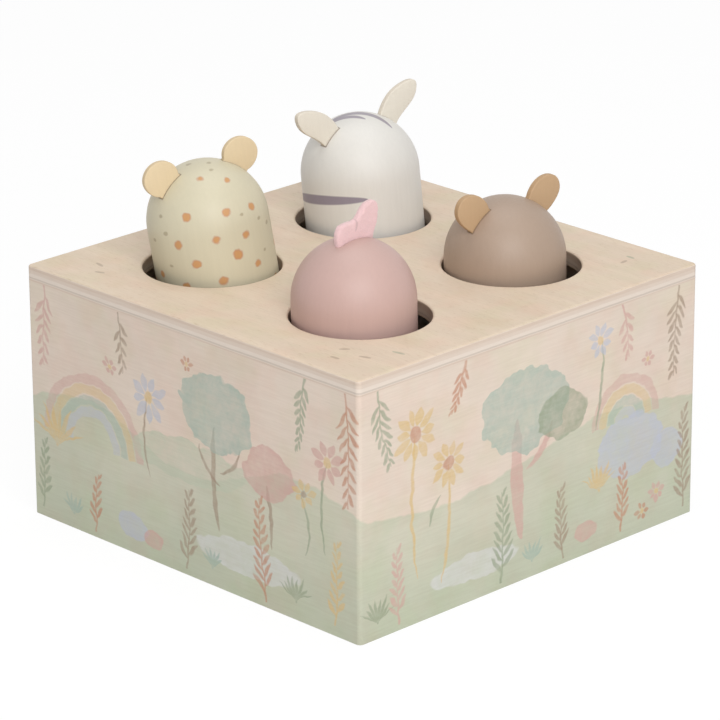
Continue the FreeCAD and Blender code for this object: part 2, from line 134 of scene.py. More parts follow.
class WoodSettings(bpy.types.PropertyGroup):
    """The bare wood and the metal of the box."""

    board: colour("Board", "Veneer on the faces of the top board", 224, 205, 183)
    ply_light: colour("Light ply", "Plies that run along an edge", 226, 212, 199)
    ply_dark: colour("Dark ply", "Plies seen on their end grain", 210, 190, 173)
    beech: colour("Beech", "Turned seats and battens", 214, 182, 142)
    steel: colour("Steel", "Springs and screws", 190, 190, 188)
    ply_sheet: length("Ply", "Thickness of one ply of the boards", 1.0)


class PrintSettings(bpy.types.PropertyGroup):
    """The inks of the meadow printed on the walls."""

    sky: colour("Sky", "Ground colour above the hills", 226, 210, 195)
    grass: colour("Grass", "The hills and the meadow", 190, 196, 174)
    teal: colour("Teal", "Round bushes", 160, 180, 168)
    sage: colour("Sage", "Green leaves", 146, 156, 130)
    rose: colour("Rose", "Pink leaves and bushes", 205, 163, 154)
    ochre: colour("Ochre", "Yellow petals and reeds", 214, 184, 128)
    lavender: colour("Lavender", "Blue boulders and petals", 186, 190, 204)
    terracotta: colour("Terracotta", "Red-brown leaves", 190, 134, 106)
    bark: colour("Bark", "Trunks, twigs and stems", 160, 138, 118)
    pond: colour("Pond", "Pale water", 212, 212, 210)


class PegSettings(bpy.types.PropertyGroup):
    """The paints of the four animals."""

    zebra: colour("Zebra", "Body paint", 222, 219, 213)
    zebra_ear: colour("Zebra ears", "Ear paint", 229, 222, 208)
    stripe: colour("Stripes", "Zebra's stripes", 147, 138, 149)
    leopard: colour("Leopard", "Body paint", 208, 200, 174)
    leopard_ear: colour("Leopard ears", "Ear paint", 223, 202, 165)
    spot: colour("Spots", "Leopard's spots", 201, 146, 90)
    spot_rim: colour("Spot rims", "Outer part of the spots", 190, 128, 92)
    tick: colour("Ticks", "Leopard's small marks", 164, 150, 122)
    flamingo: colour("Flamingo", "Body paint", 196, 165, 157)
    crest: colour("Crest", "Felt of the flamingo's crest", 240, 202, 202)
    bear: colour("Bear", "Body paint", 168, 147, 130)
    bear_ear: colour("Bear ears", "Ear paint", 192, 160, 124)
    ear_rim: colour("Ear rims", "Cut edges of the ears", 176, 142, 104)
    # The slot colour is painted shade: the dark line in the narrow gap round each ear's foot.
    slot: colour("Slots", "Dark line where an ear stands in its slot", 132, 112, 92)
    face: colour("Faces", "Eyes and noses", 74, 62, 58)


def power(name, text, watts):
    return bpy.props.FloatProperty(
        name=name, description=text, subtype="POWER", unit="POWER", min=0.0, default=watts)


class StageSettings(bpy.types.PropertyGroup):
    """The floor and the light."""

    floor: colour("Floor", "The pale floor", 240, 240, 240)
    key: power("Key light", "Power of the large soft light", 10.8)
    overhead: power("Overhead light", "Power of the soft light above the toy", 3.9)
    surround: bpy.props.FloatProperty(
        name="Surround", description="Strength of the even light from all round", min=0.0,
        default=0.41)


def sum_by(operation):
    """A method of Value that adds a Math node for it and another value."""
    return lambda self, other: self.net.calc(operation, self, other)


class Value:
    """A value in a node tree; sums written with it add Math nodes to the tree."""

    __add__ = sum_by("ADD")
    __sub__ = sum_by("SUBTRACT")
    __mul__ = sum_by("MULTIPLY")
    __truediv__ = sum_by("DIVIDE")
    __gt__ = sum_by("GREATER_THAN")
    __lt__ = sum_by("LESS_THAN")

    def __init__(self, net, socket):
        self.net = net
        self.socket = socket

    def __rsub__(self, other):
        return self.net.calc("SUBTRACT", other, self)

    def __rtruediv__(self, other):
        return self.net.calc("DIVIDE", other, self)

    def __abs__(self):
        return self.do("ABSOLUTE")

    def do(self, operation, *others, clamp=False):
        return self.net.calc(operation, self, *others, clamp=clamp)

    def line(self, slope, base):
        """This value times a slope, on top of a base."""
        return self.do("MULTIPLY_ADD", slope, base)

    def ramp(self, low, high, start=0.0, end=1.0):
        """This value's share of the way from low to high, smoothed, as one from start to end."""
        values = {0: self, 1: low, 2: high, 3: start, 4: end}
        return self.net.value(0, "MapRange", values, interpolation_type="SMOOTHSTEP")

    def blend(self, first, second, mode="MIX"):
        """This value's share of the way from one colour to another."""
        return self.net.blend(self, first, second, mode)

    def vector(self, operation, *others):
        return self.net.value("Vector", "VectorMath", enumerate((self, *others)),
                              operation=operation)

    def stretch(self, x, y, z):
        return self.vector("MULTIPLY", (x, y, z))

    def distance(self):
        return self.net.value("Value", "VectorMath", {0: self}, operation="LENGTH")

    def rotate(self, turn):
        return self.net.value(0, "Mapping", {"Vector": self, "Rotation": turn})

    def split(self):
        return [Value(self.net, part) for part in self.net.node("SeparateXYZ", {0: self}).outputs]

    def noise(self, scale, detail=2.0, roughness=0.5, output=0):
        values = {"Vector": self, "Scale": scale, "Detail": detail, "Roughness": roughness}
        return self.net.value(output, "TexNoise", values)

    def group(self, name, **values):
        """One of the shared node groups at this place; an input is written with _ for a space."""
        made = self.net.node("Group", node_tree=bpy.data.node_groups[name])
        for key, item in {"Place": self, **values}.items():
            self.net.feed(made.inputs[key.replace("_", " ")], item)
        return {output.name: Value(self.net, output) for output in made.outputs}

    def mark(self, name, start, turn, **values):
        """A drawn shape that starts at a point and runs along a turn in degrees."""
        return self.group(name, Start=(*start, 0)[:3], Turn=math.radians(turn), **values)

    def stroke(self, start, turn, reach, bow, half_width):
        """The mask of one brush stroke."""
        return self.mark("Paint stroke", start, turn, Length=reach, Bow=bow,
                         Half_width=half_width)["Mask"]


class Net:
    """Adds nodes to one node tree and joins them."""

    def __init__(self, tree):
        self.tree = tree
        self.count = 0

    def node(self, kind, values=(), **settings):
        """A node with its settings; values feeds its inputs, by name or number."""
        prefix = "" if kind.startswith("NodeGroup") else "ShaderNode"
        made = self.tree.nodes.new(prefix + kind)
        row, place = divmod(self.count, NODE_ROW)
        made.location = (NODE_STEP[0] * place, -NODE_STEP[1] * row)
        self.count += 1
        for name, setting in settings.items():
            setattr(made, name, setting)
        for key, item in dict(values).items():
            self.feed(made.inputs[key], item)
        return made

    def feed(self, socket, item):
        if isinstance(item, Value):
            item = item.socket
        if isinstance(item, bpy.types.NodeSocket):
            self.tree.links.new(item, socket)
        elif socket.type == "RGBA" and len(item) == 3:
            socket.default_value = (*item, 1.0)
        else:
            socket.default_value = item

    def value(self, output, kind, values=(), **settings):
        """One output of a new node."""
        return Value(self, self.node(kind, values, **settings).outputs[output])

    def calc(self, operation, *items, clamp=False):
        return self.value(0, "Math", enumerate(items), operation=operation, use_clamp=clamp)

    def join(self, x=0.0, y=0.0, z=0.0):
        return self.value(0, "CombineXYZ", {0: x, 1: y, 2: z})

    def blend(self, share, first, second, mode="MIX"):
        values = {0: share, 6: first, 7: second}
        return self.value(2, "Mix", values, data_type="RGBA", blend_type=mode)


def new_group(name, **inputs):
    """An empty node group, and the values that it is given: a place and then those named."""
    tree = bpy.data.node_groups.new(name, "ShaderNodeTree")
    for label, default in {"Place": ORIGIN, **inputs}.items():
        size = len(default) if isinstance(default, tuple) else 1
        kind = {1: "Float", 3: "Vector", 4: "Color"}[size]
        tree.interface.new_socket(label.replace("_", " "), in_out="INPUT",
                                  socket_type="NodeSocket" + kind).default_value = default
    net = Net(tree)
    given = net.node("NodeGroupInput").outputs[:len(inputs) + 1]
    return net, *(Value(net, output) for output in given)


def close_group(net, **results):
    """Gives a node group its outputs."""
    for label, item in results.items():
        kind = "Color" if item.socket.type == "RGBA" else "Float"
        net.tree.interface.new_socket(label, in_out="OUTPUT", socket_type="NodeSocket" + kind)
    net.node("NodeGroupOutput", results)


def build_wood_grain():
    """Wood whose grain runs along X: a broad figure, fine streaks and pores."""
    net, place, spacing = new_group("Wood grain", Spacing=5.0)
    drift = place.stretch(0.25, 1, 1).noise(0.05, 1.0)
    warped = place.stretch(0.07, 1, 1).vector("ADD", net.join(y=drift * 9.0))
    figure = warped.noise(1.0 / spacing, 3.0, 0.55)
    streak = place.stretch(0.05, 1, 1).noise(1.6, 3.0, 0.6)
    pore = place.stretch(0.12, 1, 1).noise(3.2, 1.0)
    close_group(net, Figure=figure.ramp(0.32, 0.68), Streak=streak.ramp(0.3, 0.7),
                Pore=pore.ramp(0.63, 0.72))


def build_ply_layers():
    """The plies on a cut edge: a dark one, one of a middle tone, a light one and a glue line."""
    net, place, depth, sheet = new_group("Ply layers", Depth=0.0, Sheet=1.0)
    waver = place.stretch(0.06, 0.06, 0.3).noise(1.0, 2.0)
    count = (waver - 0.5).line(0.5, depth) / sheet
    round_of_four = (count * 0.25).do("FRACT") * 4.0
    dark = round_of_four.ramp(0.3, 0.6) * round_of_four.ramp(1.2, 1.7, 1.0, 0.6)
    dark *= round_of_four.ramp(2.8, 2.4)
    fibre = place.stretch(0.05, 0.05, 2.2).noise(1.0, 3.0, 0.6)
    dark *= fibre.ramp(0.3, 0.6, 0.72, 1.0)
    close_group(net, Dark=dark, Glue=count.do("PINGPONG", 2.0).ramp(0.40, 0.15))


def build_brushed_paint():
    """Paint on turned wood: slightly uneven in tone, with fine marks and a satin skin."""
    net, place, paint, mottle = new_group("Brushed paint", Paint=(1, 1, 1, 1), Mottle=0.06)
    broad = place.noise(0.07, 3.0)
    grain = place.stretch(1, 1, 0.06).noise(0.9, 3.0, 0.6)
    skin = place.noise(1.3, 2.0)
    level = ((broad - 0.5) + (grain - 0.5)).line(mottle, 1.0)
    painted = net.blend(1.0, paint, net.join(level, level, level), "MULTIPLY")
    close_group(net, Colour=painted, Roughness=skin.ramp(0.25, 0.75, 0.40, 0.52),
                Height=grain.line(0.6, skin))


def turned(place, start, turn):
    """A place as seen from a start, with X along a turn."""
    values = {"Vector": place.vector("SUBTRACT", start), "Angle": turn * -1.0}
    return place.net.value(0, "VectorRotate", values, rotation_type="Z_AXIS")


def inked(inside, edge=INK_EDGE):
    """Full where a place is inside a shape by millimetres, fading over the ink's edge."""
    return (inside / edge).do("ADD", 0.5, clamp=True)


def arched(share):
    """None at the ends of a share from 0 to 1, full in its middle."""
    return share * (1.0 - share) * 4.0


def between(item, low, high):
    """Full where an item lies between two limits."""
    return (item > low) * (item < high)


def build_paint_stroke():
    """One brush stroke on a flat place: bowed to one side, thickest in its middle."""
    net, place, start, turn, reach, bow, half_width = new_group(
        "Paint stroke", Start=ORIGIN, Turn=0.0, Length=10.0, Bow=0.0, Half_width=1.0)
    along, across, _ = turned(place, start, turn).split()
    arch = arched(along / reach).do("MAXIMUM", 0.0)
    off = across - arch * bow
    mask = inked(arch.do("SQRT") * half_width - abs(off))
    close_group(net, Mask=mask * (arch > 0.0))


def build_leaf_sprig():
    """A stem with pairs of pointed leaves that sweep forwards and shorten to its tip."""
    net, place, start, turn, reach, bow, pairs, leaf, half_width, sweep = new_group(
        "Leaf sprig", Start=ORIGIN, Turn=0.0, Length=25.0, Bow=2.0, Pairs=6.0, Leaf=7.0,
        Half_width=0.75, Sweep=1.1)
    along, side, _ = turned(place, start, turn).split()
    share = along / reach
    bowed = share * share * bow
    across = abs(side - bowed)
    slant = sweep.line(sweep, 1.0).do("SQRT")
    root = along - across * sweep
    pitch = reach / pairs
    number = root / pitch + (side > bowed) * 0.5
    row = number.do("FLOOR") / pairs
    out = across * slant / (leaf * row.line(-0.62, 1.0))
    beside = abs((number.do("FRACT") - 0.5) * pitch / slant)
    leaves = inked(arched(out) * half_width - beside)
    leaves *= between(row, 0.08, 0.999) * between(out, 0, 1)
    stem = inked(share.line(-0.25, 0.42) - across)
    close_group(net, Leaves=leaves, Stem=stem * between(share, 0.0, 1.0))


def build_petal_fan():
    """Petals or blades round a point, over a whole turn or a part of one."""
    net, place, start, turn, inner, outer, count, half_width, spread = new_group(
        "Petal fan", Start=ORIGIN, Turn=0.0, Inner=1.0, Outer=6.0, Petals=8.0, Half_width=1.2,
        Spread=math.tau)
    along, side, _ = turned(place, start, turn).split()
    radius = net.join(along, side).distance()
    angle = side.do("ARCTAN2", along)
    cell = spread / count
    number = angle / cell
    off = (number.do("FRACT") - 0.5) * cell
    wild = (number.do("FLOOR") * 2.4).do("SINE")
    tip = outer * wild.line(0.10, 0.90)
    beside = abs(radius * off.do("SINE"))
    share = (radius * off.do("COSINE") - inner) / (tip - inner)
    petals = inked(arched(share) * half_width - beside)
    petals = petals * (abs(angle) < spread * 0.5) * between(share, 0, 1)
    close_group(net, Petals=petals, Eye=inked(inner - radius))


def build_soft_spot():
    """A round or stretched spot with a wavering edge, on a surface in space."""
    net, place, middle, stretch, radius, waver, grain, edge = new_group(
        "Soft spot", Middle=ORIGIN, Stretch=(1, 1, 1), Radius=1.5, Waver=0.4, Grain=0.4,
        Edge=INK_EDGE)
    scaled = place.vector("SUBTRACT", middle).vector("DIVIDE", stretch)
    ripple = place.noise(grain, 2.0) - 0.5
    off = ripple.line(waver, scaled.distance())
    close_group(net, Mask=inked(radius - off, edge), Rim=(off / radius).ramp(0.55, 1.0))


def build_printed_bow():
    """One band of a bow that stands on the ground."""
    net, place, middle, radius, half_width = new_group(
        "Printed bow", Middle=ORIGIN, Radius=20.0, Half_width=2.0)
    moved = place.vector("SUBTRACT", middle)
    waver = place.noise(0.25, 2.0) - 0.5
    off = moved.distance() - radius
    mask = inked(half_width - abs(waver.line(1.2, off)))
    close_group(net, Mask=mask * (moved.split()[1] > 0.0))


def build_groups():
    for build in (build_wood_grain, build_ply_layers, build_brushed_paint, build_paint_stroke,
                  build_leaf_sprig, build_petal_fan, build_soft_spot, build_printed_bow):
        build()


class MaterialNet(Net):
    """The nodes of a new material, round its Principled shader."""

    def __init__(self, name):
        self.material = bpy.data.materials.new(name)
        self.material.use_nodes = True
        super().__init__(self.material.node_tree)
        self.tree.nodes.clear()
        self.shader = self.node("BsdfPrincipled")
        self.output = self.node("OutputMaterial", {"Surface": self.shader.outputs[0]})

    def place(self):
        """The place on the whole toy, in millimetres."""
        return self.value("Object", "TexCoord").stretch(IN_MM, IN_MM, IN_MM)

    def coat(self, tone, roughness, **others):
        """Feeds the shader; an input's name is written with _ for a space."""
        for key, item in {"Base_Color": tone, "Roughness": roughness, **others}.items():
            self.feed(self.shader.inputs[key.replace("_", " ")], item)
        return self.material

    def bump(self, height, depth, strength=1.0):
        """Bump of the given depth in millimetres."""
        values = {"Height": height, "Distance": depth * MM, "Strength": strength}
        self.feed(self.shader.inputs["Normal"], self.node("Bump", values).outputs[0])


def dress(piece, material):
    """Gives every face of a piece one material."""
    piece.data.materials.clear()
    piece.data.materials.append(material)
    for face in piece.data.polygons:
        face.material_index = 0


def darker(tone, share):
    return tuple(level * share for level in tone)


def wood_colour(grain, light, share):
    """A wood's light tone and, darker by a share, its dark one, joined by its grain."""
    dark = darker(light, share)
    base = (grain["Figure"] * 0.45).blend(light, dark)
    base = (grain["Streak"] * 0.25).blend(base, dark)
    return (grain["Pore"] * 0.30).blend(base, dark, "MULTIPLY")


def ply_colour(plies, wood, glue):
    """The tones of the plies on a cut edge, with the share of their glue lines."""
    tone = plies["Dark"].blend(wood.ply_light, wood.ply_dark)
    return (plies["Glue"] * glue).blend(tone, darker(wood.ply_dark, 0.6))


def soft_tints(place, tone):
    """Faint rosy and mossy patches over a pale surface."""
    for tint, scale in TINTS:
        patch = place.noise(scale, 3.0).ramp(0.42, 0.70, 0.0, 0.65)
        tone = patch.blend(tone, tint, "MULTIPLY")
    return tone


def board_material(name, wood, top, marks=()):
    """Plywood: veneer on its faces, plies round its edges, and painted shade on the plies in its
    peg holes.

    The top is the height of its upper face.
    """
    net = MaterialNet(name)
    place = net.place()
    grain = place.group("Wood grain", Spacing=6.0)
    faced = soft_tints(place, wood_colour(grain, wood.board, 0.88))
    for start, turn, reach, ink in marks:
        stroke = place.stroke((*start, top), turn, reach, 0.0, 0.62)
        faced = (stroke * 0.55).blend(faced, ink)
    depth = top - place.split()[2]
    plies = place.group("Ply layers", Depth=depth, Sheet=wood.ply_sheet / MM)
    edge = ply_colour(plies, wood, 0.4)
    edge = depth.ramp(0.6, 0.3).blend(edge, darker(wood.ply_light, 0.93))
    # Painted shade on the walls of the peg holes.
    edge = (in_peg_hole(net, place) * 0.85).blend(edge, HOLE_SHADE, "MULTIPLY")
    upright = abs(net.value("Normal", "TexCoord").split()[2])
    height = grain["Pore"].line(-1.0, grain["Streak"] * 0.6)
    net.bump(plies["Glue"].line(-0.4, height), 0.04)
    return net.coat(upright.ramp(0.35, 0.65).blend(edge, faced),
                    grain["Streak"].ramp(0.0, 1.0, 0.50, 0.62))


def in_peg_hole(net, place):
    """Full on the walls of the four peg holes, where their painted shade lies."""
    x, y, _ = place.vector("ABSOLUTE").split()
    off = net.join(x - HOLE_PLACE, y - HOLE_PLACE).distance()
    return off.ramp(HOLE_RADIUS + 0.8, HOLE_RADIUS + 0.3)


# Small printed marks on the top board: start, turn, length and ink, in millimetres.
BOARD_MARKS = (
    ((50.6, -59.2), 45, 3.4, "bark"), ((53.2, -65.2), 2, 3.6, "bark"),
    ((59.0, -59.2), 18, 4.2, "bark"), ((63.2, -49.4), 10, 4.6, "sage"),
    ((-60.0, -58.0), -15, 4.4, "bark"), ((-54.0, -64.0), 20, 3.6, "bark"),
    ((57.5, 57.5), 100, 3.4, "bark"), ((54.0, 64.0), -5, 3.6, "sage"),
    ((-64.0, 60.0), 10, 4.0, "bark"), ((-58.0, 65.0), 75, 3.4, "bark"),
)

# The meadow on two walls that share a corner; the opposite walls repeat them.  A sprig has its
# root, its direction in degrees, its length, bow, pairs and leaf, and its ink.
SPRIGS = {
    "front_wall": (
        ((-66, 79), 262, 27, 2, 7, 7, "rose"), ((-32, 79), 282, 20, -2, 5, 6, "bark"),
        ((52, 79), 255, 24, 3, 8, 5, "sage"), ((69, 79), 276, 36, -3, 9, 8, "terracotta"),
        ((-70, 3), 82, 24, 2, 7, 6, "sage"), ((-44, 2), 95, 20, -3, 6, 5, "terracotta"),
        ((-2, 2), 80, 27, 3, 8, 7, "bark"), ((34, 2), 100, 33, -3, 10, 7, "terracotta"),
        ((64, 3), 84, 28, 2, 8, 6, "ochre"),
    ),
    "right_wall": (
        ((-67, 79), 276, 26, 3, 8, 7, "sage"), ((-30, 79), 258, 17, -2, 6, 5, "terracotta"),
        ((66, 79), 262, 30, 2, 9, 7, "bark"), ((40, 79), 286, 18, -2, 5, 6, "rose"),
        ((-58, 2), 96, 25, -2, 8, 6, "rose"), ((-14, 2), 84, 30, 3, 9, 8, "sage"),
        ((14, 2), 98, 24, -2, 8, 6, "bark"), ((40, 3), 80, 22, 3, 7, 6, "terracotta"),
        ((70, 3), 94, 34, -2, 10, 7, "bark"),
    ),
}
# A bush or boulder: its middle, its half sizes and its ink.
CLUMPS = {
    "front_wall": (
        ((26, 13), (22, 5.5), "pond"), ((0, 38), (26, 7), "grass"),
        ((13, 57), (16, 12.5), "teal"), ((36, 44), (11, 8.5), "rose"),
        ((-27, 9), (7, 4.5), "lavender"), ((-17, 7), (4.5, 3), "rose"),
    ),
    "right_wall": (
        ((-26, 11), (18, 4.5), "pond"), ((-4, 56), (19, 13.5), "teal"),
        ((13, 50), (11, 8), "sage"), ((44, 31), (15, 10.5), "lavender"),
        ((62, 26), (7.5, 6), "lavender"), ((24, 8), (5, 3.2), "rose"),
    ),
}
# The clumps that lie on the ground, under the trunks and stalks.
GROUND_INKS = ("grass", "pond")
# A trunk, stalk or long blade: its foot, direction, length, bow, half width and ink.
STROKES = {
    "front_wall": (
        ((13, 19), 92, 34, 1.5, 1.1, "bark"), ((14, 34), 128, 15, 2, 0.6, "bark"),
        ((14, 38), 50, 14, -2, 0.6, "bark"), ((36, 20), 94, 20, -1, 0.8, "bark"),
        ((60, 25), 88, 30, 2, 0.5, "sage"), ((52, 22), 97, 20, -2, 0.45, "sage"),
        ((-18, 28), 92, 26, 2, 0.5, "bark"),
    ),
    "right_wall": (
        ((-5, 14), 93, 40, 1, 2.6, "rose"), ((-3, 36), 50, 18, -2, 1.0, "rose"),
        ((-50, 14), 91, 47, 2, 0.7, "ochre"), ((-40, 10), 86, 38, -2, 0.7, "ochre"),
        ((-45, 30), 60, 10, 1, 0.6, "sage"), ((28, 40), 84, 30, -1, 0.5, "sage"),
    ),
}
# The direction of a flower or tuft, in degrees.
UPWARDS = 90
# A flower or tuft: its root, eye, reach, petals, half width, spread in degrees, and inks.
FANS = {
    "front_wall": (
        ((-18, 54), 2.0, 9, 9, 1.5, 360, "lavender", "ochre"),
        ((61, 55), 1.8, 8, 8, 1.5, 360, "rose", "ochre"),
        ((51, 42), 1.2, 5.5, 7, 1.1, 360, "ochre", "bark"),
        ((-62, 27), 0.5, 15, 7, 0.9, 130, "ochre", "ochre"),
        ((47, 6), 0.4, 9, 7, 0.6, 120, "sage", "sage"),
        ((-55, 5), 0.4, 8, 6, 0.6, 120, "teal", "teal"),
        ((10, 6), 0.4, 7, 6, 0.6, 120, "teal", "teal"),
        ((-36, 60), 0.9, 3.4, 6, 0.8, 360, "rose", "ochre"),
        ((0, 70), 0.8, 3.0, 6, 0.7, 360, "terracotta", "ochre"),
    ),
    "right_wall": (
        ((-51, 61), 2.6, 10, 11, 1.5, 360, "ochre", "terracotta"),
        ((-37, 48), 2.2, 8.5, 10, 1.3, 360, "ochre", "terracotta"),
        ((30, 70), 1.4, 6.5, 8, 1.2, 360, "lavender", "ochre"),
        ((57, 12), 1.0, 4.2, 7, 0.9, 360, "rose", "ochre"),
        ((50, 7), 0.9, 3.6, 6, 0.8, 360, "terracotta", "ochre"),
        ((-67, 5), 0.4, 9, 7, 0.6, 120, "sage", "sage"),
        ((0, 5), 0.4, 8, 6, 0.6, 120, "teal", "teal"),
        ((30, 20), 0.5, 10, 7, 0.7, 120, "ochre", "ochre"),
        ((52, 58), 0.9, 3.4, 6, 0.8, 360, "rose", "ochre"),
    ),
}
# A bow: its middle and radius.  Its bands follow inwards, one ink each.
BOWS = {"front_wall": ((-45, 31), 22), "right_wall": ((42, 40), 14)}
BOW_INKS = ("rose", "ochre", "teal", "lavender")
BOW_BAND = 3.6
# The skyline: its height at the corners, and the rise and count of its waves.
HILLS = {"front_wall": (40, 6, 3), "right_wall": (40, -5, 2)}


def print_meadow(place, ground, wall, inks):
    """The printed picture on one wall; place has its width along X and its height along Y."""
    tone = ground
    wash = place.noise(0.16, 4.0, 0.65).ramp(0.25, 0.7, 0.62, 1.0)
    wash *= place.noise(0.6, 2.0).ramp(0.3, 0.7, 0.85, 1.0)

    def add(mask, ink, strength=0.85):
        nonlocal tone
        tone = (mask * (wash * strength)).blend(tone, getattr(inks, ink))

    def add_clumps(ground):
        for middle, halves, ink in CLUMPS[wall]:
            if (ink in GROUND_INKS) == ground:
                spot = place.group("Soft spot", Middle=(*middle, 0), Radius=1.0,
                                   Stretch=(*halves, 1), Waver=0.6, Grain=0.13,
                                   Edge=0.4 / min(halves))
                add(spot["Mask"] * spot["Rim"].line(0.16, 0.84), ink)

    middle, radius = BOWS[wall]
    for band, ink in enumerate(BOW_INKS):
        bow = place.group("Printed bow", Middle=(*middle, 0), Radius=radius - band * BOW_BAND,
                          Half_width=BOW_BAND * 0.44)
        add(bow["Mask"], ink, 0.6)
    add_clumps(ground=True)
    for *stroke, ink in STROKES[wall]:
        add(place.stroke(*stroke), ink)
    add_clumps(ground=False)
    for start, eye, reach, petals, half, spread, ink, eye_ink in FANS[wall]:
        fan = place.mark("Petal fan", start, UPWARDS, Inner=eye, Outer=reach, Petals=petals,
                         Half_width=half, Spread=math.radians(spread))
        add(fan["Petals"], ink)
        add(fan["Eye"], eye_ink)
    for start, turn, reach, bow, pairs, leaf, ink in SPRIGS[wall]:
        sprig = place.mark("Leaf sprig", start, turn, Length=reach, Bow=bow, Pairs=pairs,
                           Leaf=leaf)
        add(sprig["Leaves"], ink)
        add(sprig["Stem"], ink)
    return tone


def meadow_ground(place, across, height, wall, inks):
    """The sky over a waving skyline of hills, both faintly clouded."""
    level, rise, waves = HILLS[wall]
    share = (across + HALF_WIDTH) * (waves * math.pi / (2 * HALF_WIDTH))
    skyline = share.do("SINE").line(rise, level)
    skyline = (place.noise(0.12, 3.0) - 0.5).line(4.0, skyline)
    clouding = place.noise(0.045, 4.0, 0.6)
    sky = clouding.ramp(0.3, 0.7, 0.0, 0.5).blend(inks.sky, darker(inks.sky, 0.90))
    grass = height.ramp(4.0, 34.0, 0.9, 0.62).blend(inks.sky, inks.grass)
    grass = clouding.ramp(0.35, 0.65, 0.0, 0.35).blend(grass, darker(inks.grass, 0.92))
    land = (skyline - height).ramp(-0.5, 0.5)
    return soft_tints(place, land.blend(sky, grass))


def wall_material(wall, wood, inks):
    """A wall: the print outside, bare ply on its other faces."""
    picture = "front_wall" if WALL_TURNS[wall] % 180 == 0 else "right_wall"
    net = MaterialNet(wall + "_print")
    place = net.place()
    back = (0, 0, -math.radians(WALL_TURNS[wall]))
    faced = place.rotate(back)
    across, inwards, height = faced.split()
    drift = place.noise(0.22, 1.0, output="Color").vector("SUBTRACT", (0.5, 0.5, 0.5))
    flat = net.join(across, height).vector("ADD", drift.stretch(2.2, 2.2, 0))
    ground = meadow_ground(place, across, height, picture, inks)
    drawn = print_meadow(flat, ground, picture, inks)
    grain = faced.group("Wood grain", Spacing=7.0)
    printed = (grain["Streak"] * 0.10).blend(drawn, darker(wood.ply_dark, 0.8), "MULTIPLY")
    plies = place.group("Ply layers", Sheet=wood.ply_sheet / MM, Depth=inwards + HALF_WIDTH)
    cut = ply_colour(plies, wood, 0.35)
    bare = wood_colour(grain, wood.board, 0.85)
    facing = net.value("Normal", "TexCoord").rotate(back)
    _, outwards, upwards = facing.split()
    outside = (outwards * -1.0).ramp(0.45, 0.6)
    plain = abs(upwards).ramp(0.45, 0.6).blend(bare, cut)
    skin = place.noise(0.9, 2.0)
    net.bump(grain["Streak"].line(0.5, skin), 0.025)
    return net.coat(outside.blend(plain, printed), skin.ramp(0.25, 0.75, 0.50, 0.60))


def solid_wood_material(name, wood, upright):
    """Beech, with its grain along Z where it is upright."""
    net = MaterialNet(name)
    place = net.place()
    if upright:
        place = on_end(net, place)
    grain = place.group("Wood grain", Spacing=4.0)
    net.bump(grain["Pore"].line(-1.0, grain["Streak"]), 0.05)
    return net.coat(wood_colour(grain, wood.beech, 0.8),
                    grain["Streak"].ramp(0.0, 1.0, 0.48, 0.66))


def on_end(net, place):
    """A place with its X and Z swapped."""
    x, y, z = place.split()
    return net.join(z, y, x)


def metal_material(name, wood):
    """Bright drawn steel with a slight haze."""
    net = MaterialNet(name)
    place = net.place()
    haze = place.noise(0.8, 3.0, 0.6)
    net.bump(place.stretch(1, 1, 9).noise(1.2, 2.0), 0.01)
    tone = haze.ramp(0.3, 0.7, 0.0, 0.5).blend(wood.steel, darker(wood.steel, 0.78))
    return net.coat(tone, haze.ramp(0.3, 0.7, 0.24, 0.38), Metallic=1.0)


def joint(name):
    """One of the frame's joints."""
    return next(found for found in frame["joints"] if found["name"] == name)


def peg_frame(animal):
    """A peg's own frame: the middle of its round head in metres, and the turn it stands at.

    The third is how far its foot lies under that middle, in millimetres.
    """
    low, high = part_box(animal + "_peg")
    radius = PEG_RADIUS * MM
    middle = Vector((low.x + radius, low.y + radius, high.z - radius))
    axis = Vector(joint(animal + "_lift")["axis"])
    lean = Vector((0, 0, 1)).rotation_difference(axis.normalized()).to_matrix()
    turn = lean @ Matrix.Rotation(math.radians(PEG_TURNS[animal]), 3, "Z")
    return middle, turn.to_euler("XYZ"), (middle.z - low.z) / MM


def peg_place(net, animal):
    """The place on a peg, in millimetres from the middle of its head, with Z along the peg."""
    middle, turn, _ = peg_frame(animal)
    values = {"Vector": net.value("Object", "TexCoord"), "Location": middle, "Rotation": turn,
              "Scale": (MM, MM, MM)}
    return net.value(0, "Mapping", values, vector_type="TEXTURE")


def on_peg(turn, height):
    """The point of a peg's skin at a turn about the peg, in degrees, and a height.

    The height is measured from the middle of its head.
    """
    radius = math.sqrt(PEG_RADIUS ** 2 - max(height, 0.0) ** 2)
    return (radius * math.cos(math.radians(turn)), radius * math.sin(math.radians(turn)), height)


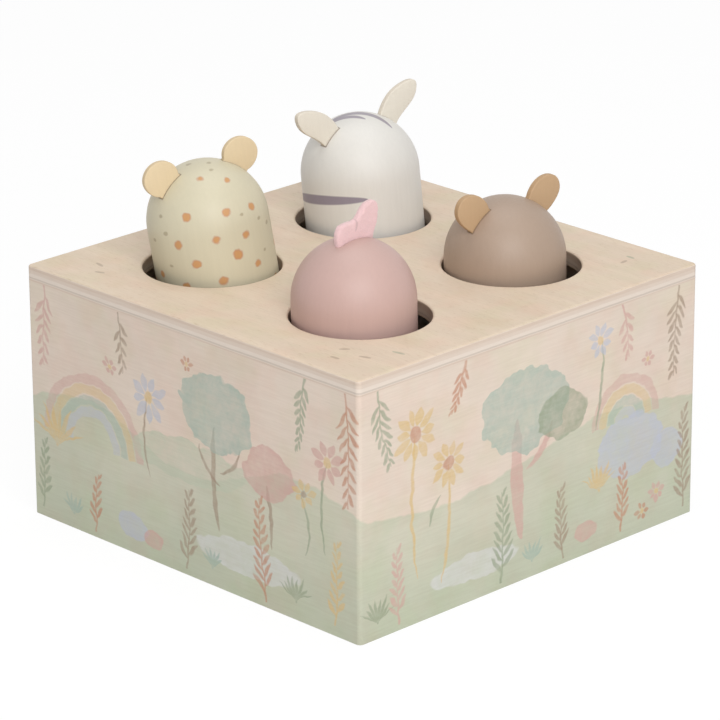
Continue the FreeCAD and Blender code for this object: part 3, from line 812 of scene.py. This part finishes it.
# The leopard's marks: turn in degrees, height in millimetres, radius.
SPOTS = (
    (-25, 16.5, 0.95), (15, 14.5, 0.9), (-45, 7.0, 1.4), (-5, 6.4, 1.3), (25, 5.5, 1.2),
    (10, -2.0, 1.2), (-57, -1.5, 1.45), (-20, -1.0, 1.3), (-2, -7.3, 1.65), (-42, -8.0, 1.4),
    (18, -12.5, 1.15), (-20, -14.5, 1.4), (-85, -12.0, 1.1), (-56, -15.3, 1.2),
    (74, 9.0, 1.3), (82, 0.0, 1.4), (102, 7.0, 1.3), (115, -4.0, 1.4), (62, -10.5, 1.3),
    (90, -13.0, 1.4), (130, -12.0, 1.3), (-124, -3.0, 1.4), (-120, 8.0, 1.3), (-140, -12.0, 1.5),
    (165, -15.0, 1.5), (-165, 16.0, 1.2), (150, 15.5, 1.1), (-110, -16.0, 1.2),
)
TICKS = (
    (-77, 7.0, 0.8), (-70, 2.0, 0.9), (-89, -1.0, 0.8), (-95, 19.0, 0.9), (30, 18.8, 0.8),
    (5, 17.7, 0.7), (10, 4.5, 0.7), (30, 1.0, 0.8), (44, -2.0, 0.9), (31, -9.5, 0.7),
    (-69, -8.7, 0.7), (80, 12.0, 0.8), (120, 2.0, 0.8), (100, -9.0, 0.7), (-130, 4.0, 0.8),
    (-125, -9.0, 0.8),
)
# Eyes, nose and cheeks: side, height, radius, and how far they are stretched sideways.
FACES = {
    "zebra": ((0.0, -1.5, 5.2, 1.25), (2.0, -1.0, 0.7, 1.0), (-2.0, -1.0, 0.7, 1.0)),
    "leopard": ((0.0, 0.6, 1.5, 1.35), (3.0, -2.6, 0.5, 1.0), (-3.0, -2.6, 0.5, 1.0)),
    "flamingo": ((0.0, -1.0, 2.2, 0.75),),
    "bear": ((0.0, -0.6, 1.7, 1.3),),
}
EYES = {"zebra": (8.0, 8.0), "leopard": (7.0, 5.0), "flamingo": (6.5, 4.5), "bear": (6.8, 4.0)}


def add_face(place, tone, animal, inks):
    """A plain painted face on the side that looks along -X."""
    def mark(side, height, radius, wide, ink, strength):
        along = -math.sqrt(PEG_RADIUS ** 2 - side ** 2 - max(height, 0.0) ** 2)
        spot = place.group("Soft spot", Middle=(along, side, height), Stretch=(1, wide, 1),
                           Radius=radius, Waver=0.1)
        return (spot["Mask"] * strength).blend(tone, ink)

    for number, (side, height, radius, wide) in enumerate(FACES[animal]):
        if animal == "zebra" and number == 0:
            tone = mark(side, height, radius, wide, inks.stripe, 0.55)
        else:
            tone = mark(side, height, radius, wide, inks.face, 0.9)
    side, height = EYES[animal]
    for sign in (1, -1):
        tone = mark(sign * side, height, 1.15, 1.0, inks.face, 1.0)
        tone = mark(sign * (side + 3.4), height - 5.0, 2.1, 1.1, inks.crest, 0.55)
    return tone


def leopard_marks(net, place, tone, inks):
    """Spots with a darker outer part and small ticks, as listed, and more below the rim."""
    for turn, height, radius in SPOTS:
        spot = place.group("Soft spot", Middle=on_peg(turn, height), Radius=radius, Waver=1.5,
                           Grain=0.5, Edge=0.7)
        ink = spot["Rim"].blend(inks.spot, inks.spot_rim)
        tone = (spot["Mask"] * 0.92).blend(tone, ink)
    for turn, height, radius in TICKS:
        tick = place.group("Soft spot", Middle=on_peg(turn, height), Radius=radius,
                           Stretch=(1, 1, 0.7), Waver=0.9, Grain=0.8)
        tone = (tick["Mask"] * 0.7).blend(tone, inks.tick)
    x, y, z = place.split()
    around = y.do("ARCTAN2", x) * PEG_RADIUS
    values = {"Vector": net.join(around, z), "Scale": 0.14, "Randomness": 0.75}
    cells = net.value("Distance", "TexVoronoi", values, voronoi_dimensions="2D")
    return (cells.ramp(0.24, 0.20) * (z < -19.0) * 0.85).blend(tone, inks.spot)


# The zebra's stripes round its body: where each starts, in degrees, its height, its reach round
# the body in degrees, its half width, its bow and its tilt.
BODY_STRIPES = (
    (-140, -7.9, 110, 1.6, 1.5, 6.5), (68, -3.0, 92, 1.4, 1.4, 3), (78, -12.0, 70, 1.2, 1.0, -3),
    (172, -15.0, 42, 1.0, 0.8, 0), (-95, -23.0, 90, 1.5, 1.5, 0), (20, -25.0, 95, 1.5, 1.4, 0),
    (-150, -34.0, 80, 1.5, 1.2, 3), (-30, -35.0, 100, 1.5, 1.4, -3), (95, -44.0, 70, 1.4, 1.0, 0),
    (-110, -45.0, 90, 1.4, 1.2, 0),
)
# The strokes over its head, seen from above: start, direction, length, bow and half width.
MANE_STROKES = (
    ((-5.4, -10.2), 47.0, 23.2, 4.0, 1.6), ((-4.6, -10.1), 46.0, 14.4, 1.6, 1.1),
)


def zebra_marks(net, place, tone, inks):
    """Tapering stripes round the body and two long strokes over the head."""
    x, y, z = place.split()
    for start, height, reach, half, bow, tilt in BODY_STRIPES:
        turn = (y.do("ARCTAN2", x) - math.radians(start)).do("WRAP", math.tau, 0.0)
        flat = net.join(turn * PEG_RADIUS, z)
        stripe = flat.stroke((0, height), tilt, math.radians(reach) * PEG_RADIUS, bow, half)
        tone = stripe.blend(tone, inks.stripe)
    upper = z > 4.0
    for stroke in MANE_STROKES:
        tone = (place.stroke(*stroke) * upper * 0.88).blend(tone, inks.stripe)
    return tone


# How the ears stand in a head: their angle from its top in degrees, and half their neck's width.
EAR_SLOTS = {"zebra": (37.7, 3.8), "leopard": (37.9, 4.7), "bear": (39.0, 4.8)}
# How far the ears' middle plane lies behind the head's middle, and half their thickness.
EAR_PLANE = 1.4
EAR_HALF = 1.0


def slot_shadow_lines(place, tone, animal, inks):
    """Painted shadow lines where the ears stand in their slots, in place of the shade of the gaps.
    """
    x, y, z = place.split()
    angle, half = EAR_SLOTS[animal]
    line = (abs(x - EAR_PLANE) - EAR_HALF).ramp(0.70, 0.20)
    side = abs(y) * math.cos(math.radians(angle))
    across = side - z * math.sin(math.radians(angle))
    neck = abs(across).ramp(half + 0.5, half)
    return (line * neck * 0.8).blend(tone, inks.slot)


def peg_material(animal, wood, inks):
    """A painted peg: satin paint, its animal's marks and face, and bare wood under its foot."""
    net = MaterialNet(animal + "_painted")
    place = peg_place(net, animal)
    tone = getattr(inks, animal)
    if animal == "leopard":
        tone = leopard_marks(net, place, tone, inks)
    if animal == "zebra":
        tone = zebra_marks(net, place, tone, inks)
    # Painted shadow lines at the ear slots.
    if animal in EAR_SLOTS:
        tone = slot_shadow_lines(place, tone, animal, inks)
    tone = add_face(place, tone, animal, inks)
    skin = place.group("Brushed paint", Paint=tone, Mottle=0.07)
    grain = on_end(net, place).group("Wood grain", Spacing=4.0)
    bare = wood_colour(grain, wood.beech, 0.8)
    foot = -peg_frame(animal)[2]
    bared = place.split()[2].ramp(foot + 2.2, foot + 1.4)
    net.bump(skin["Height"], 0.03)
    return net.coat(bared.blend(skin["Colour"], bare), skin["Roughness"], Specular_IOR_Level=0.45)


def ear_material(animal, inks):
    """A painted ear with a darker cut edge, clearest on the bear."""
    net = MaterialNet(animal + "_ear_painted")
    place = peg_place(net, animal)
    paint = getattr(inks, animal + "_ear")
    skin = place.group("Brushed paint", Paint=paint, Mottle=0.06)
    speck = place.noise(2.2, 3.0, 0.7)
    face = speck.ramp(0.55, 0.75, 0.0, 0.12).blend(skin["Colour"], inks.ear_rim)
    outwards = peg_frame(animal)[1].to_matrix() @ Vector((1, 0, 0))
    values = {0: net.value("Normal", "TexCoord"), 1: outwards}
    facing = net.value("Value", "VectorMath", values, operation="DOT_PRODUCT")
    plies = place.group("Ply layers", Depth=place.split()[0], Sheet=0.67)
    rim_share = 0.5 if animal == "bear" else 0.18
    edge = plies["Glue"].line(0.25, rim_share).blend(paint, inks.ear_rim)
    net.bump(speck.line(0.7, skin["Height"]), 0.04)
    return net.coat(abs(facing).ramp(0.80, 0.45).blend(face, edge),
                    speck.ramp(0.3, 0.7, 0.52, 0.66))


# The painted shade of a fold in the felt beside the head: its start in the crest's plane, turn,
# length, bow and half width.
CREST_FOLD_SHADE = ((0.8, 25.3), -98, 3.8, 0.3, 0.4)


def felt_material(inks):
    """Pressed wool: tangled fibres, a soft skin, a light fuzz at grazing angles and painted shade
    along a fold.
    """
    net = MaterialNet("crest_wool")
    place = peg_place(net, "flamingo")
    lifted = place.vector("ADD", net.join(z=place.noise(0.8, 2.0)))
    tangle = lifted.noise(2.6, 5.0, 0.75)
    tuft = place.noise(0.6, 3.0)
    tone = tangle.ramp(0.35, 0.65, 0.0, 0.45).blend(inks.crest, darker(inks.crest, 0.82))
    tone = tuft.ramp(0.4, 0.7, 0.0, 0.3).blend(tone, darker(inks.crest, 0.88))
    _, side, height = place.split()
    # Painted shade along a fold in the felt, which the flat piece doesn't have.
    fold_shade = net.join(side, height).stroke(*CREST_FOLD_SHADE)
    tone = (fold_shade * 0.5).blend(tone, darker(inks.crest, 0.55))
    net.bump(tangle, 0.25, 0.8)
    return net.coat(tone, tangle.ramp(0.3, 0.7, 0.85, 1.0), Sheen_Weight=0.5, Sheen_Roughness=0.5)


def deselect():
    if bpy.context.object and bpy.context.object.mode != "OBJECT":
        bpy.ops.object.mode_set(mode="OBJECT")
    bpy.ops.object.select_all(action="DESELECT")


def pick(piece):
    deselect()
    piece.select_set(True)
    bpy.context.view_layer.objects.active = piece


def join_faces(flatten):
    """Joins up the faces of the picked piece, turned outwards, and may make flat ones whole."""
    bpy.ops.object.mode_set(mode="EDIT")
    bpy.ops.mesh.select_all(action="SELECT")
    bpy.ops.mesh.remove_doubles(threshold=SAME_POINT)
    if flatten:
        bpy.ops.mesh.dissolve_limited(angle_limit=FLAT_ANGLE)
    bpy.ops.mesh.normals_make_consistent(inside=False)
    bpy.ops.object.mode_set(mode="OBJECT")


def new_piece(name, data):
    """Adds a picked piece to the scene."""
    piece = bpy.data.objects.new(name, data)
    bpy.context.scene.collection.objects.link(piece)
    pick(piece)
    return piece


def merged_copy(node, name):
    """A new piece in the place of a node, its faces joined up and its flat ones made whole."""
    piece = new_piece(name, cad[node].data.copy())
    piece.data.name = name
    bpy.ops.mesh.customdata_custom_splitnormals_clear()
    join_faces(flatten=True)
    return piece


def finish_with(piece, kind, **settings):
    """Adds a modifier to a piece and applies it."""
    pick(piece)
    modifier = piece.modifiers.new(kind.title(), kind)
    for name, setting in settings.items():
        setattr(modifier, name, setting)
    bpy.ops.object.modifier_apply(modifier=modifier.name)


def scene_part(name):
    return getattr(bpy.context.scene, "pop_up_" + name)


class MakeTopBoard(bpy.types.Operator):
    """Finish the top board: pale veneer, plies round its edge and holes, small printed marks"""

    bl_idname = "pop_up.top_board"
    bl_label = "Top board"

    def execute(self, context):
        wood, inks = scene_part("wood"), scene_part("print")
        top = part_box("top_board")[1].z / MM
        marks = [(*mark, getattr(inks, ink)) for *mark, ink in BOARD_MARKS]
        dress(cad["top_board"], board_material("top_board_ply", wood, top, marks))
        return {"FINISHED"}


class MakeWalls(bpy.types.Operator):
    """Print the meadow on the four walls"""

    bl_idname = "pop_up.walls"
    bl_label = "Printed walls"

    def execute(self, context):
        wood, inks = scene_part("wood"), scene_part("print")
        for wall in WALL_TURNS:
            dress(cad[wall], wall_material(wall, wood, inks))
        return {"FINISHED"}


class MakeInside(bpy.types.Operator):
    """Finish the base board, the battens and the spring seats"""

    bl_idname = "pop_up.inside"
    bl_label = "Base, battens and seats"

    def execute(self, context):
        wood = scene_part("wood")
        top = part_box("base_board")[1].z / MM
        dress(cad["base_board"], board_material("base_board_ply", wood, top))
        upright = solid_wood_material("batten_beech", wood, True)
        lying = solid_wood_material("seat_beech", wood, False)
        for name, node in cad.items():
            if name.endswith("_batten"):
                dress(node, upright)
            if name.endswith("_seat"):
                dress(node, lying)
        return {"FINISHED"}


class MakeMetal(bpy.types.Operator):
    """Finish the screws and the four springs"""

    bl_idname = "pop_up.metal"
    bl_label = "Springs and screws"

    def execute(self, context):
        steel = metal_material("drawn_steel", scene_part("wood"))
        for name in ("batten_screws", "seat_screws"):
            dress(cad[name], steel)
        for animal in PEG_TURNS:
            spring = animal + "_spring"
            coil = merged_copy(spring, spring + "_coil")
            bpy.ops.object.shade_smooth_by_angle(angle=SMOOTH_ANGLE)
            dress(coil, steel)
            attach(coil, spring)
            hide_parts(spring)
            foot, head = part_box(spring)
            travel = max(abs(end) for end in joint(animal + "_press")["range_m"])
            1 - travel / (head.z - foot.z)
            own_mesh(coil)
        return {"FINISHED"}


class MakePegs(bpy.types.Operator):
    """Paint the four turned animal pegs"""

    bl_idname = "pop_up.pegs"
    bl_label = "Animal pegs"

    def execute(self, context):
        wood, inks = scene_part("wood"), scene_part("pegs")
        for animal in PEG_TURNS:
            dress(cad[animal + "_peg"], peg_material(animal, wood, inks))
        return {"FINISHED"}


class MakeEars(bpy.types.Operator):
    """Model the six ears with softened edges and paint them"""

    bl_idname = "pop_up.ears"
    bl_label = "Ears"

    softening: length("Softening", "Radius along the ears' edges", 0.45)

    def execute(self, context):
        for animal in EAR_SLOTS:
            paint = ear_material(animal, scene_part("pegs"))
            for side in ("left", "right"):
                node = "%s_%s_ear" % (animal, side)
                piece = merged_copy(node, node + "_soft")
                finish_with(piece, "BEVEL", width=self.softening, segments=3, limit_method="ANGLE",
                            angle_limit=SHARP_ANGLE)
                pick(piece)
                bpy.ops.object.shade_smooth_by_angle(angle=SMOOTH_ANGLE)
                dress(piece, paint)
                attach(piece, animal)
                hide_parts(node)
        return {"FINISHED"}


# The crest's outline in the plane of its slot: side and height from the middle of the head.
CREST_OUTLINE = (
    (-5.8, 14.6), (-7.0, 18.6), (-7.2, 21.6), (-6.2, 24.0), (-4.0, 24.9), (-1.2, 24.8),
    (1.0, 24.9), (2.7, 26.6), (4.3, 28.6), (6.8, 29.8), (9.8, 29.3), (10.6, 26.8),
    (10.3, 23.6), (9.6, 21.6), (8.3, 19.5), (7.4, 14.6),
)


# The share of the felt's thickness that its edge is rounded by.
FELT_SOFTNESS = 0.35
# The felt's lumps in millimetres: how far apart, how high, and the grain of the mesh they lift.
LUMP_SIZE = 1.1
LUMP_HEIGHT = 0.35
FELT_GRAIN = 0.3


def cut_felt(name, thickness):
    """A piece of felt cut to the crest's outline, with its soft edge, standing in its slot."""
    outline = bpy.data.curves.new(name, "CURVE")
    outline.dimensions = "2D"
    outline.fill_mode = "BOTH"
    soft = thickness * FELT_SOFTNESS
    outline.bevel_depth = soft
    outline.bevel_resolution = 3
    outline.offset = -soft
    outline.extrude = thickness / 2 - soft
    spline = outline.splines.new("NURBS")
    spline.points.add(len(CREST_OUTLINE) - 1)
    for point, (side, height) in zip(spline.points, CREST_OUTLINE):
        point.co = (side * MM, height * MM, 0, 1)
    spline.use_cyclic_u = True
    spline.order_u = 3
    spline.resolution_u = 8
    piece = new_piece(name, outline)
    middle, turn, _ = peg_frame("flamingo")
    upright = Matrix(((0, 0, 1), (1, 0, 0), (0, 1, 0))).to_4x4()
    piece.matrix_world = Matrix.Translation(middle) @ turn.to_matrix().to_4x4() @ upright
    bpy.ops.object.convert(target="MESH")
    bpy.ops.object.transform_apply(location=True, rotation=True, scale=True)
    join_faces(flatten=False)
    return bpy.context.object


class MakeCrest(bpy.types.Operator):
    """Model the flamingo's felt crest"""

    bl_idname = "pop_up.crest"
    bl_label = "Felt crest"

    thickness: length("Thickness", "Thickness of the felt", 2.4)

    def execute(self, context):
        piece = cut_felt("flamingo_felt_crest", self.thickness)
        finish_with(piece, "REMESH", mode="VOXEL", voxel_size=FELT_GRAIN * MM)
        finish_with(piece, "SMOOTH", factor=0.6, iterations=4)
        wool = bpy.data.textures.new("wool_lumps", "CLOUDS")
        wool.noise_scale = LUMP_SIZE * MM
        wool.noise_depth = 2
        finish_with(piece, "DISPLACE", texture=wool, texture_coords="LOCAL", mid_level=0.5,
                    strength=LUMP_HEIGHT * MM)
        pick(piece)
        bpy.ops.object.shade_smooth()
        dress(piece, felt_material(scene_part("pegs")))
        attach(piece, "flamingo")
        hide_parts("flamingo_crest")
        return {"FINISHED"}


class MakeStage(bpy.types.Operator):
    """Set up the pale floor, the soft light and the camera"""

    bl_idname = "pop_up.stage"
    bl_label = "Stage"

    def execute(self, context):
        stage = scene_part("stage")
        make_floor(stage)
        make_surround(stage)
        make_light("key_light", *KEY_LIGHT, stage.key)
        make_light("overhead_light", *OVERHEAD_LIGHT, stage.overhead)
        make_camera()
        context.scene.view_settings.view_transform = "Standard"
        return {"FINISHED"}


def make_floor(stage):
    """A wide round floor that a camera sees as white paper with the toy's soft shadow."""
    deselect()
    bpy.ops.mesh.primitive_circle_add(vertices=96, radius=FLOOR_RADIUS, fill_type="NGON",
                                      location=(0, 0, -FLOOR_DROP * MM))
    floor = bpy.context.object
    floor.name = "floor"
    net = MaterialNet("white_paper")
    fibre = net.place().noise(0.02, 3.0).ramp(0.3, 0.7)
    net.coat(fibre.blend(stage.floor, darker(stage.floor, 0.985)), 0.9, Specular_IOR_Level=0.1)
    paper = net.node("Emission", {"Color": (1, 1, 1), "Strength": PAPER_GLOW})
    share = seen_rays(net) * PAPER_SHARE
    mixed = net.node("MixShader", {0: share, 1: net.shader.outputs[0], 2: paper.outputs[0]})
    net.feed(net.output.inputs["Surface"], mixed.outputs[0])
    dress(floor, net.material)


def seen_rays(net):
    """Full for the rays that show the surroundings: seen, mirrored or passed through."""
    rays = net.node("LightPath").outputs
    seen = net.calc("MAXIMUM", rays["Is Camera Ray"], rays["Is Glossy Ray"])
    return seen.do("MAXIMUM", rays["Is Transmission Ray"])


def make_surround(stage):
    """Even white light from all round, seen as pure white by the camera."""
    world = bpy.data.worlds.new("studio")
    bpy.context.scene.world = world
    world.use_nodes = True
    world.node_tree.nodes.clear()
    net = Net(world.node_tree)
    strength = seen_rays(net) * (1.0 - stage.surround) + stage.surround
    light = net.node("Background", {"Color": (1, 1, 1), "Strength": strength})
    net.node("OutputWorld", {"Surface": light.outputs[0]})


def make_light(name, place, width, watts):
    """A square soft light aimed at the middle of the toy."""
    deselect()
    aim = (LIGHT_AIM - Vector(place)).to_track_quat("-Z", "Y").to_euler()
    bpy.ops.object.light_add(type="AREA", location=place, rotation=aim)
    light = bpy.context.object
    light.name = name
    light.data.size = width
    light.data.energy = watts


def make_camera():
    deselect()
    bpy.ops.object.camera_add(location=CAMERA_PLACE)
    camera = bpy.context.object
    camera.name = "camera"
    camera.data.lens = CAMERA_LENS
    camera.data.clip_start = CAMERA_NEAR
    level = CAMERA_AIM.to_track_quat("-Z", "Y").to_matrix()
    camera.rotation_euler = (level @ Matrix.Rotation(CAMERA_ROLL, 3, "Z")).to_euler()
    bpy.context.scene.camera = camera


STEPS = (MakeTopBoard, MakeWalls, MakeInside, MakeMetal, MakePegs, MakeEars, MakeCrest, MakeStage)
SETTINGS = {"wood": WoodSettings, "print": PrintSettings, "pegs": PegSettings,
            "stage": StageSettings}


class PopUpPanel(bpy.types.Panel):
    """Lists the steps that dress the toy, and their settings"""

    bl_idname = "VIEW3D_PT_pop_up_toy"
    bl_label = "Pop-up toy"
    bl_space_type = "VIEW_3D"
    bl_region_type = "UI"
    bl_category = "Pop-up toy"

    def draw(self, context):
        for step in STEPS:
            self.layout.operator(step.bl_idname)
        for name in SETTINGS:
            settings = scene_part(name)
            for field in settings.__annotations__:
                self.layout.prop(settings, field)


def register():
    for name, settings in SETTINGS.items():
        bpy.utils.register_class(settings)
        setattr(bpy.types.Scene, "pop_up_" + name, bpy.props.PointerProperty(type=settings))
    for step in STEPS:
        bpy.utils.register_class(step)
    bpy.utils.register_class(PopUpPanel)


def unregister():
    bpy.utils.unregister_class(PopUpPanel)
    for step in reversed(STEPS):
        bpy.utils.unregister_class(step)
    for name, settings in SETTINGS.items():
        delattr(bpy.types.Scene, "pop_up_" + name)
        bpy.utils.unregister_class(settings)


def main():
    register()
    build_groups()
    bpy.ops.pop_up.stage()
    bpy.ops.pop_up.top_board()
    bpy.ops.pop_up.walls()
    bpy.ops.pop_up.inside()
    bpy.ops.pop_up.metal()
    bpy.ops.pop_up.pegs()
    bpy.ops.pop_up.ears()
    bpy.ops.pop_up.crest()


if __name__ == "__main__":
    main()
